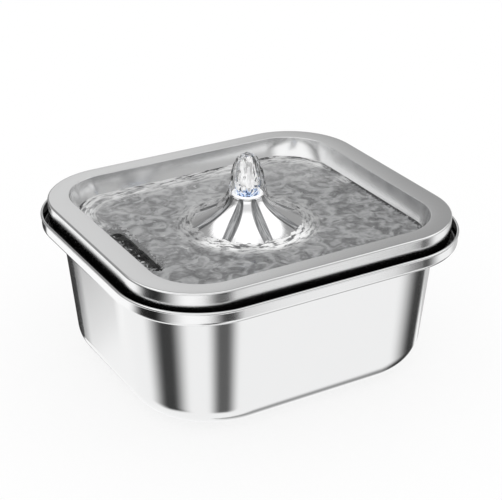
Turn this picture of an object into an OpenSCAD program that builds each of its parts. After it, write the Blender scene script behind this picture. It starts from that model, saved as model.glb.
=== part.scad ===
// Pet water fountain: a drawn steel basin, a drinking tray with a fluted cone that the water
// wells up through, and a submersible pump in a filter box under the tray.
// Millimetres, +Z up, origin under the middle of the base. X runs along the longer side.

/* [Basin] */
// Length over the rim
basin_l = 314; // [300:1:330]
// Width over the rim
basin_w = 283; // [270:1:300]
// Corner radius of the rim
basin_r = 74; // [70:1:80]
// Height of the rim above the table
basin_h = 127; // [120:1:140]
// Height of the upright band under the rim
band_h = 12.5; // [10:0.5:16]
// Width of the shoulder between the band and the body, along the sides
shoulder = 12; // [12:0.5:14]
// Corner radius of the body under the shoulder
body_r = 82; // [76:1:84]
// How far each wall leans in between the shoulder and the base
wall_lean = 11; // [6:1:14]
// Radius between the wall and the base
base_fillet = 24; // [16:1:28]
// Diameter of the rolled rim
hem_d = 2.4; // [2:0.1:3]
// Thickness of the basin's and the tray's sheet
sheet = 0.8; // [0.6:0.1:1]
// Thickness of the anti-slip pads
pad_t = 1.2; // [0.8:0.1:2]
// Radius of an anti-slip pad
pad_r = 12; // [8:1:16]
// Distance from the middle to a pad along the length
pad_x = 80; // [60:1:90]
// Distance from the middle to a pad along the width
pad_y = 62; // [50:1:74]

/* [Tray] */
// Length over the tray's rim
tray_l = 300; // [292:1:304]
// Width over the tray's rim
tray_w = 266; // [258:1:270]
// Corner radius of the tray's rim
tray_r = 64; // [60:1:66]
// Height of the tray's rim above the basin's rim
tray_rise = 13; // [10:1:18]
// Length of the well at the rim
well_l = 259; // [254:1:262]
// Width of the well at the rim
well_w = 234.4; // [228:0.2:238]
// Corner radius of the well at the rim
well_r = 44.5; // [42:0.5:48]
// Depth of the well
well_depth = 27; // [22:1:28]
// Lean of the well's wall under the rim, in degrees
well_lean_top = 3; // [2:1:8]
// Lean of the well's wall where it runs into the floor, in degrees
well_lean_foot = 30; // [20:1:34]
// Radius between the well's wall and its floor
well_fillet = 8; // [5:0.5:10]
// Depth of the water in the well
water_depth = 9; // [5:1:14]
// Length of the drain slot
slot_l = 90; // [60:1:110]
// Width of the drain slot
slot_w = 16; // [10:1:18]
// Distance from the middle of the tray to the middle of the drain slot
slot_x = 107; // [100:1:108]
// Inner radius of the neck that the riser comes through
neck_r = 17; // [16.5:0.5:19]

/* [Cone] */
// Number of petals
petals = 8; // [6:1:10]
// Direction that one petal faces, in degrees
petal_turn = -120; // [-180:1:180]
// Height of the cone's top edge above the tray's floor
cone_h = 35; // [30:1:38]
// Radius of the cone's top
cone_top_r = 14.5; // [14:0.5:16]
// Radius of the cone where it turns down to its foot
cone_bell_r = 48.7; // [44:0.1:52]
// How strongly the cone flares
cone_flare = 1.6; // [1.2:0.1:2]
// Radius of the cone's foot
cone_foot_r = 53.5; // [50:0.5:56]
// Depth of the flutes at their deepest
flute_depth = 3.4; // [1:0.1:4]
// Half width of a flute at its ends
flute_end_w = 2.2; // [1:0.1:3]
// Half width of a flute at its widest
flute_mid_w = 5.2; // [3:0.1:5.4]
// Thickness of the cone's sheet
cone_sheet = 0.7; // [0.5:0.1:0.8]
// Radius of the nozzle ring
nozzle_r = 13.7; // [13.2:0.1:14]
// Radius of the hole in the nozzle ring
nozzle_bore_r = 9; // [8.8:0.1:9.4]
// Height of the water jet above the nozzle ring
jet_h = 36; // [20:1:60]

/* [Pump box] */
// Length of the pump box
box_l = 132; // [126:1:140]
// Width of the pump box
box_w = 112; // [108:1:120]
// Height of the pump box without its feet
box_h = 79; // [76:1:84]
// Wall of the pump box
box_t = 2.2; // [1.8:0.1:3]
// Thickness of the filter cartridge
cartridge_h = 14; // [12:1:16]

/* [Pump] */
// Length and height of the pump's front
pump_side = 46; // [44:1:48]
// Depth of the pump's housing
pump_depth = 50; // [48:1:52]
// Radius of the impeller's chamber
chamber_r = 17.5; // [16.5:0.5:18.5]
// Number of vanes on the impeller
vanes = 8; // [5:1:9]
// Number of intake windows in the cover
windows = 6; // [5:1:6]
// Radius of the ceramic shaft
shaft_r = 1.5; // [1.2:0.1:1.8]
// Outer radius of the riser tube
riser_r = 8.6; // [8.4:0.1:8.7]

/* [Hidden] */
$fn = 96;
eps = 0.01;
arc_steps = 8;

// levels
basin_floor = pad_t + sheet;
shoulder_z = basin_h - band_h;
ledge_z = shoulder_z + sheet;
rim_z = basin_h + tray_rise;
well_floor = rim_z - well_depth;
water_z = well_floor + water_depth;
cone_top = well_floor + cone_h;
box_foot = 3;
box_z = basin_floor + box_foot;
box_floor = box_z + box_t;
box_top = box_z + box_h;
cartridge_gap = 0.4;
cartridge_z = box_top - cartridge_h - 2;
cup_h = 6.3;
pump_z = box_floor + cup_h;
axis_z = pump_z + pump_side / 2;

// pump, front to back along Y, with the outlet over the origin
chamber_d = 15;
pump_y = -chamber_d / 2;
well_y = chamber_d / 2;
rotor_r = 8.2;
rotor_well_r = 9.3;
rotor_l = 24.5;
rotor_well_l = 28;
bush_r = 3;
bush_l = 3;
cover_t = 3;
boss_r = 4.5;
dial_t = 1.5;
dial_r = 14;
run_gap = 0.05;
spigot_r = 7;
spigot_h = 8.5;
riser_bore_r = 7.2;
riser_z = pump_z + pump_side;
riser_top = well_floor + 28;
led_z = well_floor + 17.5;
led_r = 14.5;

// ---- geometry helpers ----

function polar(r, a) = r * [cos(a), sin(a)];
function unit(v) = v / norm(v);
function left_of(v) = [-v.y, v.x];

// Points on an arc about c, from angle a0 to angle a1
function arc(c, r, a0, a1, n = arc_steps) =
    [for (i = [0 : n]) c + polar(r, a0 + (a1 - a0) * i / n)];

// The same without its first point, to carry on from where a path ends
function arc_on(c, r, a0, a1, n = arc_steps) =
    [for (i = [1 : n]) c + polar(r, a0 + (a1 - a0) * i / n)];

// Mitred normal on the left of point i of an open path
function mitre(p, i) =
    let (
        last = len(p) - 1,
        a = unit(i > 0 ? p[i] - p[i - 1] : p[1] - p[0]),
        b = unit(i < last ? p[i + 1] - p[i] : p[last] - p[last - 1]),
        na = left_of(a),
        nb = left_of(b)
    )
    (na + nb) / (1 + na * nb);

function shifted(p, d) = [for (i = [0 : len(p) - 1]) p[i] + d * mitre(p, i)];
function backwards(p) = [for (i = [len(p) - 1 : -1 : 0]) p[i]];

// Outline of a sheet of thickness t on the left of a path, or on its right if t is negative
function sheet_outline(p, t) = concat(p, backwards(shifted(p, t)));

module rounded_rect(l, w, r) {
    square([l, w - 2 * r], center = true);
    square([l - 2 * r, w], center = true);
    for (x = [-1, 1], y = [-1, 1])
        translate([x * (l / 2 - r), y * (w / 2 - r)]) circle(r = r);
}

// The same outline moved outwards by d, or inwards if d is negative
module grown_rect(l, w, r, d) {
    rounded_rect(l + 2 * d, w + 2 * d, r + d);
}

// Round-ended slot of length l along Y
module stadium(l, w) {
    square([w, l - w], center = true);
    for (y = [-1, 1])
        translate([0, y * (l - w) / 2]) circle(r = w / 2);
}

// Sweeps a section round the corners of a rounded rectangle. The section's x is measured
// outwards from the corner's centre, so x = r lies on the outline of the rectangle.
module swept_corners(l, w, r) {
    for (x = [0, 1], y = [0, 1])
        mirror([x, 0, 0])
            mirror([0, y, 0])
                translate([l / 2 - r, w / 2 - r, 0])
                    rotate_extrude(angle = 90) children();
}

// The same section along the straight sides
module swept_sides(l, w, r) {
    cx = l / 2 - r;
    cy = w / 2 - r;
    for (y = [0, 1])
        mirror([0, y, 0])
            translate([-cx, cy, 0])
                rotate([90, 0, 90]) linear_extrude(height = 2 * cx) children();
    for (x = [0, 1])
        mirror([x, 0, 0])
            translate([cx, cy, 0])
                rotate([90, 0, 0]) linear_extrude(height = 2 * cy) children();
}

module swept(l, w, r) {
    swept_corners(l, w, r) children();
    swept_sides(l, w, r) children();
}

// Floor plate between the corner centres of a swept shell
module swept_floor(l, w, r, z, t) {
    translate([r - l / 2, r - w / 2, z]) cube([l - 2 * r, w - 2 * r, t]);
}

// Places something along -Y, so that its own +Z points at the front of the pump
module facing_front(y = 0) {
    translate([0, y, axis_z]) rotate([90, 0, 0]) children();
}

// ---- basin ----

body_l = basin_l - 2 * shoulder;
body_w = basin_w - 2 * shoulder;

wall_slope = atan(wall_lean / shoulder_z);
// How far out the wall's outside lies, measured square to it
wall_reach = cos(wall_slope) * body_r - sin(wall_slope) * shoulder_z;

// Centre of an arc that meets the wall at height z, inside it or, if r is negative, outside it
function wall_centre(r, z) = [(wall_reach - r + z * sin(wall_slope)) / cos(wall_slope), z];

// Outside of the curve from the flat of the base up into the first of the wall
function curve_path() =
    let (
        c = wall_centre(base_fillet, pad_t + base_fillet),
        top = c + base_fillet * [cos(wall_slope), -sin(wall_slope)]
    )
    concat(
        [[c.x - 1, pad_t]],
        arc(c, base_fillet, -90, -wall_slope, 10),
        [top + [sin(wall_slope), cos(wall_slope)]]
    );

// Outside of the rest of the wall, out to the shoulder
function wall_path() =
    let (
        neck = 2.4,
        c = wall_centre(-neck, shoulder_z - neck)
    )
    concat(
        [curve_path()[len(curve_path()) - 1]],
        arc(c, neck, 180 - wall_slope, 90, 4),
        [[c.x + 0.5, shoulder_z]]
    );

// Outside of the upright band, from the shoulder up to the rolled rim
function band_path() =
    let (
        heel = 3.2,
        heel_c = [basin_r - 1.7 - heel, shoulder_z + heel]
    )
    concat(
        [[heel_c.x - 0.5, shoulder_z]],
        arc(heel_c, heel, -90, -4, 5),
        [[basin_r - hem_d / 2 + sheet / 2, basin_h - hem_d / 2]]
    );

// The body's corners are wider curves than the rim's, so the shoulder is widest at the corners
module basin() {
    lap = 0.3;
    wall_end = wall_path()[len(wall_path()) - 1].x - lap;
    band_end = band_path()[0].x + lap;
    color("silver") {
        swept(body_l, body_w, body_r) polygon(sheet_outline(wall_path(), sheet));
        translate([0, 0, shoulder_z])
            linear_extrude(height = sheet)
                difference() {
                    grown_rect(basin_l, basin_w, basin_r, band_end - basin_r);
                    grown_rect(body_l, body_w, body_r, wall_end - body_r);
                }
        swept(basin_l, basin_w, basin_r) {
            polygon(sheet_outline(band_path(), sheet));
            translate([basin_r - hem_d / 2, basin_h - hem_d / 2]) circle(r = hem_d / 2);
        }
    }
}

// The curve between the wall and the base, at the corners and along the sides
module basin_corners() {
    color("silver")
        swept_corners(body_l, body_w, body_r) polygon(sheet_outline(curve_path(), sheet));
}

module basin_sides() {
    color("silver")
        swept_sides(body_l, body_w, body_r) polygon(sheet_outline(curve_path(), sheet));
}

// The flat of the base, inside that curve
module basin_base() {
    color("silver")
        translate([0, 0, pad_t])
            linear_extrude(height = sheet)
                grown_rect(body_l, body_w, body_r, curve_path()[0].x - body_r);
}

module foot_pads() {
    color("gainsboro")
        for (x = [-pad_x, pad_x], y = [-pad_y, pad_y])
            translate([x, y, 0]) {
                cylinder(r = pad_r - 0.4, h = pad_t);
                translate([0, 0, 0.4]) cylinder(r = pad_r, h = pad_t - 0.4);
            }
}

// ---- tray ----

// Upper side of the well, from the rim's inner edge down to the middle of the floor. The wall
// is one long curve, upright under the rim and sloping at its foot.
function well_path() =
    let (
        edge = 1.2,
        edge_c = [well_r + edge, rim_z - edge],
        top = edge_c + polar(edge, 180 - well_lean_top),
        foot_z = well_floor + well_fillet * (1 - sin(well_lean_foot)),
        bow = (top.y - foot_z) / (sin(well_lean_foot) - sin(well_lean_top)),
        bow_c = top - polar(bow, -well_lean_top),
        fillet_c = bow_c + polar(bow - well_fillet, -well_lean_foot)
    )
    concat(
        arc(edge_c, edge, 90, 180 - well_lean_top, 4),
        arc_on(bow_c, bow, -well_lean_top, -well_lean_foot, 6),
        arc_on(fillet_c, well_fillet, -well_lean_foot, -90, 4),
        [[0, well_floor]]
    );

skirt_edge = 3;

// Outer side of the skirt, from the rim's outer edge down to the basin's ledge
function skirt_path() =
    concat(
        arc([tray_r - skirt_edge, rim_z - skirt_edge], skirt_edge, 90, 0, 6),
        [[tray_r, ledge_z + hem_d / 2]]
    );

function neck_path() =
    let (bend = 3, neck_h = 15)
    concat(
        [[neck_r + sheet + bend + 1, well_floor]],
        arc([neck_r + sheet + bend, well_floor + bend], bend, -90, -180, 4),
        [[neck_r + sheet, well_floor + neck_h]]
    );

module slot_outline(grow = 0) {
    translate([-slot_x, 0]) stadium(slot_l + 2 * grow, slot_w + 2 * grow);
}

module tray() {
    well_edge = well_path()[0].x - well_r;
    notch = 10;
    notch_x = 60;
    color("silver")
        difference() {
            union() {
                swept(tray_l, tray_w, tray_r) {
                    polygon(sheet_outline(skirt_path(), -sheet));
                    translate([tray_r - hem_d / 2, ledge_z + hem_d / 2]) circle(r = hem_d / 2);
                }
                translate([0, 0, rim_z - sheet])
                    linear_extrude(height = sheet)
                        difference() {
                            grown_rect(tray_l, tray_w, tray_r, -skirt_edge);
                            grown_rect(well_l, well_w, well_r, well_edge);
                        }
                swept(well_l, well_w, well_r) polygon(sheet_outline(well_path(), sheet));
                swept_floor(well_l, well_w, well_r, well_floor - sheet, sheet);
                rotate_extrude() polygon(sheet_outline(neck_path(), -sheet));
            }
            translate([0, 0, well_floor - 2 * sheet]) {
                linear_extrude(height = 3 * sheet) slot_outline();
                cylinder(r = neck_r, h = 3 * sheet);
            }
            translate([notch_x - notch / 2, tray_w / 2 - 4, ledge_z - eps])
                cube([notch, 8, notch]);
        }
}

// The standing water fills the well up to its surface, clear of the cone and the drain
module water_pool() {
    skin = 0.2;
    color("lightblue", 0.5)
        difference() {
            intersection() {
                union() {
                    swept(well_l, well_w, well_r)
                        polygon(concat([[0, rim_z]], shifted(well_path(), -skin)));
                    translate([well_r - well_l / 2, well_r - well_w / 2, well_floor + skin])
                        cube([well_l - 2 * well_r, well_w - 2 * well_r, well_depth - skin]);
                }
                translate([0, 0, well_floor])
                    linear_extrude(height = water_depth) square([well_l, well_w], center = true);
            }
            translate([0, 0, well_floor - 1]) {
                cylinder(r = cone_foot_r + 1, h = water_depth + 2);
                linear_extrude(height = water_depth + 2) slot_outline(0.5);
            }
        }
}

// ---- fluted cone, nozzle ring and jet ----

// The cone's outline without flutes: a flaring bell that turns down to its foot.
// s runs from 0 at the top edge to 1 at the foot.
bell_z = water_z + 0.6;
bell_share = 0.72;

function bell(s) =
    s < bell_share
        ? let (t = s / bell_share)
          [cone_top_r + (cone_bell_r - cone_top_r) * pow(t, cone_flare),
           cone_top + (bell_z - cone_top) * t]
        : let (t = (s - bell_share) / (1 - bell_share), q = 90 * t)
          [cone_bell_r + (cone_foot_r - cone_bell_r) * sin(q),
           bell_z - (bell_z - well_floor) * (0.45 * (1 - cos(q)) + 0.55 * t)];

// Depth and half width of a flute along the cone
function flute_d(s) = flute_depth * pow(max(0, sin(180 * s)), 0.7);
function flute_w(s) = flute_end_w + (flute_mid_w - flute_end_w) * sin(min(180, 189 * s));

// Angles across one petal, close together in the flute
flute_marks = [-1, -0.75, -0.5, -0.25, 0, 0.25, 0.5, 0.75];
crown_marks = [0, 0.25, 0.5, 0.75];

function petal_angles(s, r) =
    let (half = flute_w(s) / r * 180 / PI, pitch = 360 / petals)
    concat(
        [for (m = flute_marks) m * half],
        [for (m = crown_marks) half + (pitch - 2 * half) * m]
    );

function flute_shape(u) = abs(u) < 1 ? pow(cos(90 * u), 2) : 0;

// One ring of points; inset moves it in by the sheet's thickness
function cone_ring(s, inset) =
    let (p = bell(s), half = flute_w(s) / p.x * 180 / PI)
    [for (k = [0 : petals - 1], a = petal_angles(s, p.x))
        let (
            r = p.x - inset - flute_d(s) * flute_shape(a / half),
            phi = petal_turn + 360 / petals * (k + 0.5) + a
        )
        [r * cos(phi), r * sin(phi), p.y]];

cone_rows = 12;
// The inner skin keeps the sheet's thickness square to the slope, and the top edge is rolled in
skin_inset = 1.3 * cone_sheet;
top_inset = 2.6 * cone_sheet;

// Closed tube between the outer skin, the foot, the inner skin and the top edge
module fountain_cone() {
    n = petals * (len(flute_marks) + len(crown_marks));
    drop = 0.5;
    outer = [for (i = [0 : cone_rows]) cone_ring(i / cone_rows, 0)];
    inner = [for (i = [cone_rows : -1 : 0])
        [for (q = cone_ring(i / cone_rows, i == 0 ? top_inset : skin_inset))
            [q.x, q.y, i == 0 || i == cone_rows ? q.z : q.z - drop]]];
    rings = concat(outer, inner);
    m = len(rings);
    color("silver")
        polyhedron(
            points = [for (ring = rings) each ring],
            faces = [for (i = [0 : m - 1], j = [0 : n - 1], tri = [0, 1])
                let (
                    a = i * n + j,
                    b = i * n + (j + 1) % n,
                    c = ((i + 1) % m) * n + (j + 1) % n,
                    d = ((i + 1) % m) * n + j
                )
                tri == 0 ? [a, b, c] : [a, c, d]],
            convexity = 6
        );
}

// Soft ring with a rounded lip and a neck that plugs into the cone's top
module nozzle_ring() {
    plug_h = 7;
    plug_r = cone_top_r - top_inset - 0.5;
    seat_z = cone_top + 0.05;
    hem = 0.4;
    lip = 1.5;
    throat = 2.4;
    lip_top = cone_top + hem + lip;
    color("white")
        rotate_extrude()
            polygon(concat(
                [[nozzle_bore_r, cone_top - plug_h], [plug_r, cone_top - plug_h], [plug_r, seat_z]],
                arc([nozzle_r - 1, seat_z + hem], hem, -90, 0, 2),
                arc([nozzle_r - lip, lip_top - lip], lip, 20, 90, 4),
                arc([nozzle_bore_r + throat, lip_top - throat], throat, 90, 180, 4)
            ));
}

jet_foot_r = 12.6;
jet_taper = 3.6;
jet_swell = 0.6;

// Radius of the jet at height t, from 0 at its foot to 1 at its rounded top
function jet_r(t) =
    (jet_foot_r - jet_taper * t - jet_swell * sin(612 * t)) * sqrt(max(0, 1 - pow(t, 7)));

module water_jet() {
    foot_z = riser_top + 1;
    mouth_z = cone_top + 2.2;
    steps = 20;
    color("lightblue", 0.5)
        rotate_extrude()
            polygon(concat(
                [[0, foot_z], [nozzle_bore_r - 0.2, foot_z],
                 [nozzle_bore_r - 0.2, cone_top - 0.4], [nozzle_bore_r + 0.3, cone_top + 1.4],
                 [nozzle_bore_r + 1.8, mouth_z]],
                [for (i = [0 : steps - 1])
                    let (t = i / steps) [jet_r(t), mouth_z + 0.3 + (jet_h - 0.3) * t]],
                [[0, mouth_z + jet_h]]
            ));
}

// ---- pump box ----

box_r = 16;

module box_outline(inset = 0) {
    rounded_rect(box_l - 2 * inset, box_w - 2 * inset, box_r - inset);
}

grommet_z = axis_z - 12;
grommet_r = 5;

module pump_box() {
    ledge_w = 3;
    rib = 1.6;
    rib_h = box_h - 12;
    rib_pitch = 18;
    side_y = box_w / 2 - 0.1;
    end_x = box_l / 2 - 0.1;
    color("dimgray")
        difference() {
            union() {
                difference() {
                    translate([0, 0, box_z]) linear_extrude(height = box_h) box_outline();
                    translate([0, 0, box_floor]) linear_extrude(height = box_h) box_outline(box_t);
                }
                translate([0, 0, cartridge_z - 2])
                    linear_extrude(height = 2)
                        difference() {
                            box_outline(box_t / 2);
                            box_outline(box_t + ledge_w);
                        }
                for (x = [-1, 1], y = [-1, 1])
                    translate([x * (box_l / 2 - box_r), y * (box_w / 2 - box_r), basin_floor])
                        cylinder(r = 6, h = box_foot + 1);
                for (side = [0, 1], k = [-2.5 : 2.5])
                    mirror([0, side, 0])
                        translate([k * rib_pitch - rib / 2, side_y, box_z + 4])
                            cube([rib, rib, rib_h]);
                for (side = [0, 1], k = [-1.5 : 1.5])
                    mirror([side, 0, 0])
                        translate([end_x, k * rib_pitch - rib / 2, box_z + 4])
                            cube([rib, rib, rib_h]);
                translate([0, 0, box_top - 5])
                    linear_extrude(height = 3)
                        difference() {
                            box_outline(-rib);
                            box_outline(box_t / 2);
                        }
            }
            translate([0, box_w / 2 + 4, grommet_z])
                rotate([90, 0, 0]) cylinder(r = grommet_r, h = 10);
        }
}

module box_grommet() {
    wall_y = box_w / 2 - box_t;
    color("black")
        translate([0, wall_y, grommet_z])
            rotate([-90, 0, 0])
                rotate_extrude()
                    polygon([
                        [2.2, -1.5], [6.5, -1.5], [6.5, -0.02], [grommet_r - 0.02, -0.02],
                        [grommet_r - 0.02, box_t + 0.02], [6.5, box_t + 0.02],
                        [6, box_t + 1.6], [2.2, box_t + 1.6]
                    ]);
}

// ---- filter cartridge ----

cartridge_inset = box_t + cartridge_gap;
cartridge_r = box_r - cartridge_inset;
cartridge_wall = 1.6;
riser_hole_r = 16;

module cartridge_outline(inset = 0) {
    rounded_rect(
        box_l - 2 * (cartridge_inset + inset),
        box_w - 2 * (cartridge_inset + inset),
        cartridge_r - inset
    );
}

// Flat layer of the cartridge's filling, between two heights above its underside
module cartridge_layer(low, high) {
    translate([0, 0, cartridge_z + low])
        linear_extrude(height = high - low)
            difference() {
                cartridge_outline(cartridge_wall);
                circle(r = riser_hole_r + cartridge_wall);
            }
}

// Rows of long water slots on both sides of the middle, shorter where the riser passes
module filter_slots(h) {
    pitch = 9;
    for (k = [-6 : 6], y = [-1, 1])
        let (
            near = abs(k * pitch) < riser_hole_r + 8 ? 22 : 4,
            far = abs(k) == 6 ? 42 : 46
        )
        translate([k * pitch, y * (near + far) / 2, 0])
            linear_extrude(height = h) stadium(far - near, 4);
}

module cartridge_frame() {
    color("whitesmoke")
        translate([0, 0, cartridge_z]) {
            linear_extrude(height = cartridge_h)
                difference() {
                    cartridge_outline();
                    cartridge_outline(cartridge_wall);
                }
            difference() {
                linear_extrude(height = cartridge_wall) cartridge_outline(0.5);
                translate([0, 0, -1]) {
                    cylinder(r = riser_hole_r + cartridge_wall, h = cartridge_h);
                    filter_slots(3);
                }
            }
        }
}

// The sleeve that the riser passes through; it holds the lid and the floor together
module cartridge_sleeve() {
    color("whitesmoke")
        translate([0, 0, cartridge_z])
            difference() {
                cylinder(r = riser_hole_r + cartridge_wall, h = cartridge_h);
                translate([0, 0, -1]) cylinder(r = riser_hole_r, h = cartridge_h + 2);
            }
}

module cartridge_grid() {
    top = cartridge_h - cartridge_wall;
    tab_l = 14;
    color("whitesmoke") {
        difference() {
            cartridge_layer(top, cartridge_h);
            translate([0, 0, cartridge_z + top - 1]) filter_slots(4);
        }
        for (x = [-1, 1])
            translate([x * 40.5, 0, cartridge_z + cartridge_h])
                rotate([90, 0, 90])
                    linear_extrude(height = 2, center = true)
                        difference() {
                            translate([-tab_l / 2, -0.2]) square([tab_l, 7]);
                            translate([-tab_l / 2 + 2, 1.6]) square([tab_l - 4, 3.4]);
                        }
    }
}

module cotton_pad() { color("white") cartridge_layer(10.2, 12.35); }
module carbon_bed() { color("black") cartridge_layer(5, 10.15); }
module foam_pad() { color("darkslategray") cartridge_layer(1.65, 4.95); }

// ---- pump ----

cup_x = 14;
cup_places = [for (x = [-cup_x, cup_x], y = [well_y, pump_depth + pump_y - 8]) [x, y]];

module pump_profile(inset = 0) {
    corner = 5;
    rounded_rect(pump_side - 2 * inset, pump_side - 2 * inset, corner - inset);
}

module pump_housing() {
    color("dimgray")
        difference() {
            union() {
                facing_front(pump_y + pump_depth)
                    linear_extrude(height = pump_depth) pump_profile();
                translate([0, 0, pump_z + pump_side - 1]) cylinder(r = spigot_r, h = spigot_h + 1);
                for (z = [-12 : 6 : 12])
                    translate([-pump_side / 2 - 0.8, 14, axis_z + z - 0.8])
                        cube([pump_side + 1.6, pump_depth + pump_y - 20, 1.6]);
            }
            facing_front(well_y) cylinder(r = chamber_r, h = chamber_d + 1);
            facing_front(well_y + rotor_well_l)
                cylinder(r = rotor_well_r, h = rotor_well_l + 1);
            facing_front(well_y + rotor_well_l + bush_l)
                cylinder(r = bush_r, h = bush_l + 1);
            translate([0, 0, axis_z]) cylinder(r = spigot_r - 1.5, h = pump_side);
            for (p = cup_places)
                translate([p.x, p.y, pump_z - 1]) cylinder(r = 3, h = 4);
        }
}

module suction_cups() {
    color("gray")
        for (p = cup_places)
            translate([p.x, p.y, 0])
                rotate_extrude()
                    polygon([
                        [0, box_floor + 2.2], [4, box_floor + 1.4], [8.5, box_floor],
                        [9, box_floor + 0.3], [6.5, box_floor + 2.4], [3.4, box_floor + 3.8],
                        [3.4, pump_z], [2.9, pump_z], [2.9, pump_z + 2.8], [0, pump_z + 2.8]
                    ]);
}

// Strain relief of the pump's lead, cut off flush where the lead would leave it
module pump_gland() {
    back_y = pump_depth + pump_y;
    color("black")
        translate([0, back_y, axis_z - 12])
            rotate([-90, 0, 0])
                difference() {
                    rotate_extrude()
                        polygon([
                            [0, 0], [5.5, 0], [5.5, 1.6], [4.2, 1.6], [4, 3], [3.6, 3],
                            [3.6, 4], [3.9, 4], [3.7, 5.6], [3.3, 5.6], [3.3, 6.6], [3.5, 6.6],
                            [3.2, 9], [0, 9]
                        ]);
                    translate([0, 0, 4]) cylinder(r = 1.9, h = 6);
                }
}

shaft_front = pump_y - cover_t + 0.6;
shaft_back = well_y + rotor_well_l + bush_l - 0.4;

module shaft() {
    color("white")
        facing_front(shaft_back) cylinder(r = shaft_r, h = shaft_back - shaft_front);
}

module rear_bush() {
    color("black")
        facing_front(well_y + rotor_well_l + bush_l)
            difference() {
                cylinder(r = bush_r, h = bush_l);
                translate([0, 0, 0.4]) cylinder(r = shaft_r, h = bush_l);
            }
}

module impeller() {
    plate_y = well_y - 3;
    plate_t = 1.5;
    vane_h = 9.1;
    hub_r = 3.6;
    tip_r = 14.6;
    bend = 11;
    front_y = plate_y - plate_t - vane_h;
    color("white")
        difference() {
            union() {
                facing_front(plate_y) cylinder(r = tip_r, h = plate_t);
                facing_front(well_y + 0.5 + rotor_l)
                    cylinder(r = hub_r, h = well_y + 0.5 + rotor_l - front_y);
                facing_front(plate_y - plate_t + eps)
                    linear_extrude(height = vane_h)
                        intersection() {
                            circle(r = tip_r);
                            for (k = [0 : vanes - 1])
                                rotate(k * 360 / vanes)
                                    translate([hub_r - 0.6, -bend])
                                        difference() {
                                            intersection() {
                                                circle(r = bend + 0.6);
                                                square(2 * bend);
                                            }
                                            circle(r = bend - 0.6);
                                        }
                        }
            }
            facing_front(well_y + rotor_l + 1)
                cylinder(r = shaft_r + run_gap, h = rotor_l + chamber_d + 6);
        }
}

module rotor_magnet() {
    color("darkslategray")
        facing_front(well_y + 0.5 + rotor_l)
            difference() {
                cylinder(r = rotor_r, h = rotor_l);
                translate([0, 0, -1]) cylinder(r = 3.6, h = rotor_l + 2);
            }
}

window_in = 6.2;
window_out = 12.4;

// Intake windows in a ring, half open and half rib
module window_ring(h) {
    far = 2 * window_out;
    linear_extrude(height = h)
        difference() {
            circle(r = window_out);
            circle(r = window_in);
            for (k = [0 : windows - 1])
                rotate(k * 360 / windows)
                    polygon([[0, 0], polar(far, 0), polar(far, 90 / windows), polar(far, 180 / windows)]);
        }
}

module pump_cover() {
    boss_l = 4.6;
    lip_t = 0.7;
    color("dimgray")
        difference() {
            union() {
                facing_front(pump_y)
                    linear_extrude(height = cover_t) pump_profile(0.4);
                facing_front(pump_y) cylinder(r = boss_r, h = boss_l + cover_t - lip_t);
                facing_front(pump_y - cover_t - boss_l + lip_t) cylinder(r = boss_r + 0.7, h = lip_t);
                facing_front(pump_y + 1)
                    difference() {
                        cylinder(r = chamber_r - 0.3, h = 1.2);
                        translate([0, 0, -1]) cylinder(r = chamber_r - 1.6, h = 4);
                    }
            }
            facing_front(pump_y + 2) window_ring(cover_t + 3);
            facing_front(pump_y + 2) cylinder(r = bush_r, h = bush_l + 2);
        }
}

module front_bush() {
    color("black")
        facing_front(pump_y)
            difference() {
                cylinder(r = bush_r, h = bush_l - 0.1);
                translate([0, 0, -1]) cylinder(r = shaft_r + run_gap, h = bush_l + 0.5);
            }
}

// Ring that turns on the cover's boss and closes the intake windows
module flow_dial() {
    dial_y = pump_y - cover_t - 0.3;
    color("gray")
        difference() {
            union() {
                facing_front(dial_y) cylinder(r = dial_r, h = dial_t);
                facing_front(dial_y)
                    translate([-1.5, dial_r - 1, 0]) cube([3, 5, dial_t + 2]);
                for (a = [-8, 8])
                    facing_front(dial_y)
                        rotate(a) translate([-0.6, dial_r - 1, 0]) cube([1.2, 2.6, dial_t]);
            }
            facing_front(dial_y + 1) window_ring(dial_t + 3);
            facing_front(dial_y + 1) cylinder(r = boss_r + run_gap, h = dial_t + 3);
        }
}

// Tube from the pump's outlet up into the nozzle, with a duct for the light's lead
module riser_tube() {
    flange_t = 1.6;
    duct_r = 2;
    color("dimgray")
        difference() {
            union() {
                translate([0, 0, riser_z]) cylinder(r = riser_r, h = riser_top - riser_z);
                translate([0, 0, riser_z]) cylinder(r = riser_r + 1.6, h = 3);
                translate([0, riser_r + duct_r - 0.8, riser_z])
                    cylinder(r = duct_r, h = led_z - riser_z);
                translate([0, 0, led_z - flange_t]) cylinder(r = led_r, h = flange_t);
                translate([0, 0, led_z - flange_t - 4])
                    rotate_extrude()
                        polygon([[riser_r - 1, 0], [riser_r, 0], [led_r - 1, 4], [riser_r - 1, 4]]);
            }
            translate([0, 0, riser_z - 1]) cylinder(r = riser_bore_r, h = riser_top - riser_z + 2);
            translate([0, riser_r + duct_r - 0.6, riser_z + 4])
                cylinder(r = 1.1, h = led_z - riser_z);
        }
}

module led_board() {
    chip = 2.6;
    color("seagreen") {
        translate([0, 0, led_z + 0.05])
            linear_extrude(height = 1.2)
                difference() {
                    circle(r = led_r - 1.1);
                    circle(r = riser_r + 1);
                }
        for (a = [0 : 60 : 300])
            rotate(a)
                translate([(led_r + riser_r) / 2 - chip / 2, -chip / 2, led_z + 1.2])
                    cube([chip, chip, 0.9]);
    }
}

// Clear cap over the board, closed against the riser
module led_lens() {
    lens_h = 5;
    color("azure", 0.5)
        translate([0, 0, led_z + 0.02])
            rotate_extrude()
                polygon([
                    [riser_r + 0.05, 0], [riser_r + 0.9, 0], [riser_r + 0.9, lens_h - 1.2],
                    [led_r - 1, lens_h - 1.2], [led_r - 1, 0], [led_r, 0],
                    [led_r, lens_h - 1.2], [led_r - 1.2, lens_h], [riser_r + 0.05, lens_h]
                ]);
}

// ---- drain ----

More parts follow.
